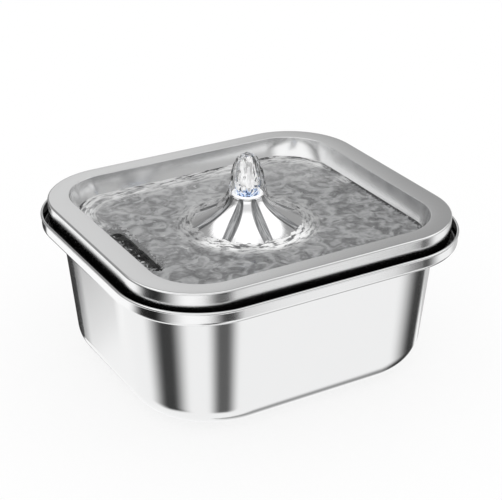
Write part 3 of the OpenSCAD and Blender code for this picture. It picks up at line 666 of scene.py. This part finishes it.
# Painted light: the water is lighter towards the back of the well.
lit = moving.between(y * 0.8 + x * 0.2 + (patch - 0.5) * 0.16, 0.03, 0.09)
murk_with_painted_light = moving.mix(lit * 0.25, murk_with_painted_light, (0.75, 0.75, 0.75, 1))
murk_with_painted_light = moving.mix(rings * 0.6, murk_with_painted_light, (0.6, 0.6, 0.6, 1))
# Painted shade: dark troughs between the wavelets round the cone, and a dark line where the water meets the
# wall.
painted_trough_shade = moving.between(1 - wreath, 0.54, 0.64) * (1 - moving.between(out, 0.05, 0.06)) * 0.7 + (
    1 - moving.between(inland + (fine - 0.5) * 0.012, 0.0012, 0.0032))
murk_with_painted_light = moving.mix(painted_trough_shade * 0.85, murk_with_painted_light, (0.03, 0.03, 0.032, 1))
murk_with_painted_light = moving.mix(painted_glint, murk_with_painted_light, (1, 1, 1, 1))
past = x - SLOT[0] / 1000
reach_y = (tall - SLOT[2] / 1000).maths("MAXIMUM", 0)
from_slot = (past * past + reach_y * reach_y) ** 0.5 + (fine - 0.5) * 0.026
over_slot = moving.between(from_slot, 0.0062, 0.0078)
murky = (soft * 0.25 + 0.62).maths("MAXIMUM", by_cone)
ripple = moving.add("Bump", None, {"Height": fine, "Strength": 0.35, "Distance": 0.0006})
clear = moving.add("BsdfPrincipled", None, {
    "Base Color": (0.8, 0.8, 0.8, 1), "Roughness": 0.02, "IOR": 1.16, "Transmission Weight": 1.0,
    "Specular IOR Level": 0.1, "Normal": ripple})
bubbly = moving.add("BsdfPrincipled", None, {
    "Base Color": murk_with_painted_light, "Roughness": 0.09, "IOR": 1.333, "Normal": ripple})
moving.add("OutputMaterial", None, [moving.add("MixShader", None, [over_slot * murky, clear, bubbly])])
pool = piece("water_face", surface, faces, moving, 180)
pool.visible_shadow = False
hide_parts("water_pool")
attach(pool, "tray")

# ---- Water jet ----
# Water wells out of the nozzle as a lumpy, clear sheet with an uneven crown, round a core that
# is white with air. It falls back over the cone in thin strands.

JET_FOOT, JET_TOP, CORE_TOP = 142, 186.2, 181
LUMP_RISE = 0.45


def column(a, z):
    """Radius of the jet on a bearing at a height."""
    c, s = math.cos(a), math.sin(a)
    r = BORE - 0.2 + 2.2 * smooth(z, 148.5, 158) - 2.9 * smooth(z, 160, 181)
    r *= math.sqrt(max(0, 1 - (max(0, z - 150) / 36.3) ** 12))
    free = smooth(z, 150, 156)
    r += free * 1.4 * noise.noise((c * 1.3, s * 1.3, z / 9))
    r += free * 0.9 * noise.noise((c * 3.6, s * 3.6, z / 18 + 3))
    return r + free * 0.4 * noise.noise((c * 9, s * 9, z / 11 + 7))


def core(a, z):
    """Radius of the white water inside the jet."""
    ragged = 0.9 * noise.noise((math.cos(a) * 2.6, math.sin(a) * 2.6, z / 9 + 12))
    return column(a, z) * (0.97 - 0.42 * smooth(z, 151, 163)) + ragged * smooth(z, 152, 158)


def gush(radius, top, count=180):
    """A closed, lumpy body of water from the nozzle up to its crown."""
    rings = []
    levels = [JET_FOOT + LUMP_RISE * i for i in range(int((top - JET_FOOT) / LUMP_RISE))]
    for z in levels + [top - 0.8, top - 0.3, top]:
        loop = []
        for i in range(count):
            a = 2 * math.pi * i / count
            r = max(0.05, radius(a, z) * min(1, math.sqrt(max(0, (top - z) / 2.4))))
            x, y = r * math.cos(a), r * math.sin(a)
            lump = smooth(z, 168, 184) * 1.5 * noise.noise((x / 4.5, y / 4.5, 4.4))
            loop.append(Vector((x, y, z + lump - 0.4 * smooth(z, 168, 184))) / 1000)
        rings.append(loop)
    points, faces = loft(rings)
    return points, faces + [tuple(range(count))[::-1], tuple(range(len(points) - count, len(points)))]


def strand(bearing, spread, width, seed, count=44, sides=14):
    """A falling strand, from the crown down to where it lies on the cone."""
    path = ((8.6, 181), (11.4, 175), (13.4, 167), (14.8, 158.5), (16.4, 150), (19.6, 143),
            (25 + spread, 137.4 - spread * 0.8))
    a0 = math.radians(bearing)
    rings = []
    for i in range(count + 1):
        t = i / count * (len(path) - 1)
        k = min(int(t), len(path) - 2)
        f = smooth(t - k, 0, 1) * 0.4 + (t - k) * 0.6
        r = path[k][0] + (path[k + 1][0] - path[k][0]) * f
        z = path[k][1] + (path[k + 1][1] - path[k][1]) * f
        a = a0 + 0.16 * noise.noise((seed, z / 14, 0.3))
        swellings = 1 + 0.55 * noise.noise((seed * 3, z / 4.5, 2.2))
        taper = math.sin(math.pi * min(1, 0.03 + 0.97 * i / count)) ** 0.35
        half, flat = width * swellings * taper * (0.75 + 0.5 * i / count), 0.6 * taper + 0.02
        loop = []
        for k in range(sides):
            q = 2 * math.pi * k / sides
            side, proud = half * math.cos(q), flat * math.sin(q)
            loop.append(Vector(((r + proud) * math.cos(a) - side * math.sin(a),
                                (r + proud) * math.sin(a) + side * math.cos(a), z + proud * 0.4)) / 1000)
        rings.append(loop)
    points, faces = loft(rings)
    return points, faces + [tuple(range(sides))[::-1], tuple(range(len(points) - sides, len(points)))]


jet_water = Finish(bpy.data.materials.new("jet_water"))
place = jet_water.add("TexCoord", out="Object")
folds_and_painted_refraction = jet_water.noise(jet_water.stretch(place, 190, 190, 55), {"Detail": 1, "Distortion": 1.4})
# Painted shade: dark streaks in the clear water's tint stand for the dark things that the folds refract.
jet_water.skin({
    "Base Color": jet_water.mix(jet_water.between(folds_and_painted_refraction, 0.38, 0.44), (0.04, 0.04, 0.04, 1),
                                (0.93, 0.93, 0.93, 1)),
    "Roughness": folds_and_painted_refraction * 0.02, "IOR": 1.36, "Transmission Weight": 1.0,
    "Normal": jet_water.add("Bump", None, {"Height": folds_and_painted_refraction, "Strength": 1.0, "Distance": 0.003})})
strands = [strand(*row) for row in (
    (-31, 0, 2.2, 1.1), (3, -2, 1.5, 2.3), (38, 1, 1.8, 3.7), (84, 0, 2, 4.9), (121, 1, 1.6, 5.3),
    (146, 2, 2.4, 6.1), (172, -2, 1.7, 7.7))]
jet = joined("water_column", [gush(column, JET_TOP)] + strands, jet_water, 180)
jet.visible_shadow = False
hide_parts("water_jet")
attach(jet, "cone")

foaming = Finish(bpy.data.materials.new("foaming_water"))
place = foaming.add("TexCoord", out="Object")
z = foaming.add("SeparateXYZ", None, [place], 2)
run = foaming.noise(foaming.stretch(place, 330, 330, 70), {"Detail": 4, "Distortion": 1})
lumps = foaming.noise(place, {"Scale": 270, "Detail": 1, "Distortion": 1.5})
# White aerated water, with painted shade in dark streaks.
aerated_with_painted_light = foaming.mix(foaming.between(run, 0.36, 0.54), (0.5, 0.5, 0.5, 1), (1, 1, 1, 1))
aerated_with_painted_light = foaming.mix(foaming.between(run, 0.66, 0.7), aerated_with_painted_light, (0.03, 0.03, 0.03, 1))
# Painted light: light blue and navy patches at the jet's foot, for the blue glow of the diodes under the
# cone.
painted_blue_glow = foaming.mix(foaming.between(lumps, 0.38, 0.42), (0.01, 0.03, 0.09, 1), (0.5, 0.66, 0.95, 1))
painted_blue_glow = foaming.mix(foaming.between(lumps, 0.5, 0.58), painted_blue_glow, (0.97, 0.98, 1, 1))
aerated_with_painted_light = foaming.mix(foaming.between(z + (lumps - 0.5) * 0.018, 0.1545, 0.1565), painted_blue_glow, aerated_with_painted_light)
rough = foaming.add("Bump", None, {"Height": run * 0.6 + lumps * 0.4, "Strength": 0.5, "Distance": 0.001})
# Painted light: the core glows in its own colour.
foaming.skin({
    "Base Color": aerated_with_painted_light, "Roughness": run * 0.2 + 0.1, "IOR": 1.333, "Emission Color": aerated_with_painted_light,
    "Emission Strength": 0.5, "Normal": rough})
white_core = joined("white_core", [gush(core, CORE_TOP)], foaming, 180)
white_core.visible_shadow = False
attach(white_core, "cone")

# ---- Anti-slip pads ----
# Four thin discs of moulded grey silicone, stuck under the base so that the fountain doesn't
# slide. The pump's suction cups are moulded of the same silicone.


def dress(finish, *names):
    """Give carried-over nodes their finish."""
    for name in names:
        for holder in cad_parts[name].material_slots:
            holder.material = finish.owner


def rubbery(name, dark, light, roughness):
    """Moulded rubber: matt, with dust in its pores and a sheen where it is handled."""
    made = Finish(bpy.data.materials.new(name))
    place = made.add("TexCoord", out="Object")
    pores = made.noise(place, {"Scale": 1600, "Detail": 3})
    dust = made.noise(place, {"Scale": 120, "Detail": 4})
    made.skin({
        "Base Color": made.mix(made.between(dust * 0.7 + pores * 0.3, 0.35, 0.68), dark, light),
        "Roughness": dust * 0.2 + (roughness - 0.1),
        "Normal": made.add("Bump", None, {"Height": pores, "Strength": 0.35, "Distance": 0.00015})})
    return made


dress(rubbery("grey_silicone", (0.3, 0.305, 0.31, 1), (0.42, 0.425, 0.43, 1), 0.5),
      "foot_pads", "suction_cups")

# ---- Pump box, pump and riser ----
# A ribbed box of black polypropylene stands in the basin and holds the pump, whose housing,
# snapped front and riser are moulded of the same plastic with a fine spark-eroded face.


def moulded(name, dark, light, roughness, grain=0.3):
    """Injection-moulded plastic: flow clouds, a fine eroded grain and rubbed, shinier patches."""
    made = Finish(bpy.data.materials.new(name))
    place = made.add("TexCoord", out="Object")
    flow = made.noise(made.stretch(place, 28, 28, 75), {"Detail": 3, "Distortion": 0.7})
    eroded = made.noise(place, {"Scale": 2600, "Detail": 2})
    rubbed = made.noise(place, {"Scale": 55, "Detail": 5})
    made.skin({
        "Base Color": made.mix(made.between(flow, 0.36, 0.66), dark, light),
        "Roughness": made.between(rubbed, 0.35, 0.7) * 0.14 + (roughness - 0.07),
        "Normal": made.add("Bump", None, {"Height": eroded, "Strength": grain, "Distance": 0.00012})})
    return made


black_plastic = moulded("black_plastic", (0.011, 0.011, 0.012, 1), (0.021, 0.021, 0.022, 1), 0.42)
white_plastic = moulded("white_plastic", (0.74, 0.745, 0.74, 1), (0.83, 0.835, 0.83, 1), 0.38, 0.15)
dress(black_plastic, "pump_box", "pump_housing", "pump_cover", "riser_tube")
dress(moulded("grey_plastic", (0.2, 0.205, 0.215, 1), (0.27, 0.275, 0.285, 1), 0.4), "flow_dial")
dress(rubbery("black_rubber", (0.012, 0.012, 0.013, 1), (0.035, 0.035, 0.036, 1), 0.6),
      "box_grommet", "pump_gland", "rear_bush", "front_bush")

# ---- Rotor ----
# The pump's only moving part: a barium ferrite magnet inside a white impeller, which runs on a
# ground ceramic shaft between two rubber bushes.

dress(white_plastic, "impeller")
ceramic = Finish(bpy.data.materials.new("white_ceramic"))
place = ceramic.add("TexCoord", out="Object")
ground = ceramic.noise(ceramic.stretch(place, 900, 9000, 900), {"Detail": 2})
ceramic.skin({
    "Base Color": ceramic.mix(ground, (0.76, 0.75, 0.71, 1), (0.86, 0.85, 0.82, 1)),
    "Roughness": ground * 0.12 + 0.14, "Coat Weight": 0.3,
    "Normal": ceramic.add("Bump", None, {"Height": ground, "Strength": 0.1, "Distance": 0.00005})})
dress(ceramic, "shaft")

ferrite = Finish(bpy.data.materials.new("ferrite"))
place = ferrite.add("TexCoord", out="Object")
sintered = ferrite.add("TexVoronoi", None, {"Vector": place, "Scale": 1900}, "Distance")
chalk = ferrite.noise(place, {"Scale": 260, "Detail": 4})
ferrite.skin({
    "Base Color": ferrite.mix(ferrite.between(chalk, 0.4, 0.7), (0.035, 0.035, 0.038, 1),
                              (0.1, 0.1, 0.105, 1)),
    "Roughness": chalk * 0.3 + 0.4, "Metallic": 0.25,
    "Normal": ferrite.add("Bump", None, {"Height": sintered, "Strength": 0.4, "Distance": 0.0001})})
dress(ferrite, "rotor_magnet")

# ---- Light under the cone ----
# Six diodes on a green ring board, soldered to an inner and an outer copper track under its
# lacquer. A clear cap over them is glued to the riser's flange.

BOARD_TOP = 131.75
TRACK_GAP = 12.85  # radius of the bare ring between the tracks

board = Finish(bpy.data.materials.new("green_board"))
place = board.add("TexCoord", out="Object")
x, y, z = (board.add("SeparateXYZ", None, [place], i) for i in range(3))
out = (x * x + y * y) ** 0.5
weave = board.noise(place, {"Scale": 900, "Detail": 3})
track = board.between(abs(out - TRACK_GAP / 1000), 0.0012, 0.0014)
laminate = board.mix(weave, (0.012, 0.11, 0.05, 1), (0.022, 0.16, 0.075, 1))
laminate = board.mix(track, laminate, (0.03, 0.2, 0.095, 1))
chip = board.between(z, BOARD_TOP / 1000 + 0.00002, BOARD_TOP / 1000 + 0.00006)
phosphor = board.between(z, BOARD_TOP / 1000 + 0.0007, BOARD_TOP / 1000 + 0.0008)
package = board.mix(phosphor, (0.8, 0.8, 0.78, 1), (0.86, 0.74, 0.25, 1))
etched = board.add("Bump", None, {"Height": weave + track * 0.5, "Strength": 0.2, "Distance": 0.0001})
board.skin({
    "Base Color": board.mix(chip, laminate, package), "Roughness": weave * 0.1 + 0.25,
    "Coat Weight": 0.3, "Normal": etched})
dress(board, "led_board")

cap = Finish(bpy.data.materials.new("clear_plastic"))
place = cap.add("TexCoord", out="Object")
haze = cap.noise(place, {"Scale": 300, "Detail": 4})
cap.skin({
    "Base Color": cap.mix(haze, (0.86, 0.9, 0.92, 1), (0.94, 0.96, 0.97, 1)),
    "Roughness": haze * 0.14 + 0.03, "IOR": 1.49, "Transmission Weight": 1.0,
    "Normal": cap.add("Bump", None, {"Height": haze, "Strength": 0.1, "Distance": 0.0001})})
dress(cap, "led_lens")

# ---- Filter cartridge ----
# A flat white box with a slotted floor and lid. It is filled with a sponge, a bed of activated
# carbon granules and a quilted cotton pad, in that order, round the hole for the riser.

CARTRIDGE = 68  # height of its underside
LAYER = (63.4, 53.4, 13.4)
HOLE = 17.6
QUILT = 25.5  # diagonal of a quilted square


def layer(name, outline, low, high, hole, finish, under=None, top=None, middle=0, inset=0.35,
          mesh=(320, 34)):
    """A soft layer cut to a rounded rectangle, with its own relief below and above."""
    count, rows = mesh
    belly = (high - low) / 2
    start = hole + inset if hole else 0.4
    section = [(i / rows, low) for i in range(rows + 1)]
    section += [(1, low + (high - low) * k / 6) for k in range(1, 6)]
    section += [(1 - i / rows, high) for i in range(rows + 1)]
    rings = []
    for share, z in section:
        loop = []
        for i in range(count):
            a = 2 * math.pi * i / count
            far = reach(outline, a) - inset
            r = start + (far - start) * share
            off = abs(z - low - belly) / belly
            edge = min(far - r, r - hole if hole else 99)
            x, y, height = r * math.cos(a), r * math.sin(a), z
            if low < z < high:
                r -= 0.45 * off ** 2 * belly / 2 + 0.2 * noise.noise((x / 2.1, y / 2.1, z))
                x, y = r * math.cos(a), r * math.sin(a)
            else:
                relief = under if z == low else top
                fall = 0.3 * math.exp(-edge / 1.5) * belly / 2 + (relief(x, y) if relief else 0)
                height += fall if z == low else -fall
            loop.append(Vector((x + middle, y, height)) / 1000)
        rings.append(loop)
    points, faces = loft(rings, closed=bool(hole))
    if not hole:
        faces += [tuple(range(count))[::-1], tuple(range(len(points) - count, len(points)))]
    return piece(name, points, faces, finish, 60)


def sponge_face(x, y):
    return 0.22 + 0.3 * noise.noise((x / 1.3, y / 1.3, 1.5)) + 0.12 * noise.noise((x / 9, y / 9, 4.5))


def quilt(x, y):
    """Depth under the highest stitch-free spots, for channels sewn both ways at 18 mm."""
    u, v = (x + y) / QUILT, (x - y) / QUILT
    puff = (abs(math.sin(math.pi * u)) * abs(math.sin(math.pi * v))) ** 0.45
    return 0.85 * (1 - puff) + 0.08 * noise.noise((x / 3, y / 3, 2.5))


def grains(x, y):
    """Depth of a bed of granules under its highest grains."""
    distance, spots = noise.voronoi((x / 2.1, y / 2.1, 0.5))
    return min(1.2, 1.1 * distance[0] + 0.5 * noise.cell(spots[0] * 7))


sponge = Finish(bpy.data.materials.new("black_foam"))
place = sponge.add("TexCoord", out="Object")
cells = sponge.add("TexVoronoi", None, {"Vector": place, "Scale": 950}, "Distance")
cloud = sponge.noise(place, {"Scale": 90, "Detail": 3})
sponge.skin({
    "Base Color": sponge.mix(sponge.between(cells + cloud * 0.3, 0.3, 0.8), (0.016, 0.016, 0.017, 1),
                             (0.002, 0.002, 0.002, 1)),
    "Roughness": cloud * 0.1 + 0.85, "Sheen Weight": 0.08,
    "Normal": sponge.add("Bump", None, {"Height": cells, "Strength": 1.0, "Distance": 0.0007})})
foam = layer("foam_layer", LAYER, CARTRIDGE + 1.7, CARTRIDGE + 4.9, HOLE, sponge, sponge_face, sponge_face)
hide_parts("foam_pad")
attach(foam, "cartridge")

coal = Finish(bpy.data.materials.new("carbon"))
place = coal.add("TexCoord", out="Object")
chips = coal.add("TexVoronoi", None, {"Vector": place, "Scale": 476}, "Color")
dust = coal.noise(place, {"Scale": 1400, "Detail": 3})
tones = coal.add("SeparateColor", None, [chips], 0)
coal.skin({
    "Base Color": coal.mix(tones * 0.6 + dust * 0.4, (0.004, 0.004, 0.004, 1), (0.03, 0.03, 0.031, 1)),
    "Roughness": tones * 0.3 + 0.35,
    "Normal": coal.add("Bump", None, {"Height": dust, "Strength": 0.6, "Distance": 0.0003})})
granules = layer("carbon_granules", LAYER, CARTRIDGE + 5.05, CARTRIDGE + 10.1, HOLE, coal, grains, grains,
                 mesh=(480, 60))
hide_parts("carbon_bed")
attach(granules, "cartridge")

wadding = Finish(bpy.data.materials.new("cotton"))
place = wadding.add("TexCoord", out="Object")
x, y = (wadding.add("SeparateXYZ", None, [place], i) for i in range(2))
fibres = wadding.stretch(place, 600, 2600, 1200, turn=0.5)
fibres = wadding.noise(fibres, {"Detail": 4, "Distortion": 1.5})
nap = wadding.noise(place, {"Scale": 160, "Detail": 4})
seams = [((x + y * k) * (1000 / QUILT)).maths("PINGPONG", 0.5) for k in (1, -1)]
stitch = seams[0].maths("MINIMUM", seams[1])
dash = ((x - y) * 400).maths("FRACT")
thread = (1 - wadding.between(stitch, 0.014, 0.03)) * (dash > 0.35)
felt = wadding.mix(fibres * 0.5 + nap * 0.5, (0.7, 0.7, 0.67, 1), (0.86, 0.86, 0.84, 1))
raised = wadding.add("Bump", None, {"Height": fibres + thread * 0.6, "Strength": 0.6, "Distance": 0.0003})
wadding.skin({
    "Base Color": wadding.mix(thread * 0.8, felt, (0.6, 0.62, 0.64, 1)),
    "Roughness": nap * 0.1 + 0.85, "Sheen Weight": 0.4, "Normal": raised})
cotton = layer("quilted_cotton", LAYER, CARTRIDGE + 10.2, CARTRIDGE + 12.35, HOLE, wadding, None, quilt,
               mesh=(480, 60))
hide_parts("cotton_pad")
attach(cotton, "cartridge")
dress(white_plastic, "cartridge_frame", "cartridge_grid", "cartridge_sleeve")

# ---- Drain holder ----
# A black cradle whose collar lines the drain slot. It hangs under the tray and holds a block
# of sponge that catches hair before the water falls back into the basin.

CRADLE = 92.1  # height of its underside
BLOCK = (13.2, 52.2, 6.2)

dress(black_plastic, "drain_cradle")
sieve = layer("drain_sponge", BLOCK, CRADLE + 1.7, CRADLE + 16.4, 0, sponge,
              sponge_face, sponge_face, middle=SLOT[0], inset=0.2, mesh=(360, 14))
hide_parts("drain_foam")
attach(sieve, "drain_holder")
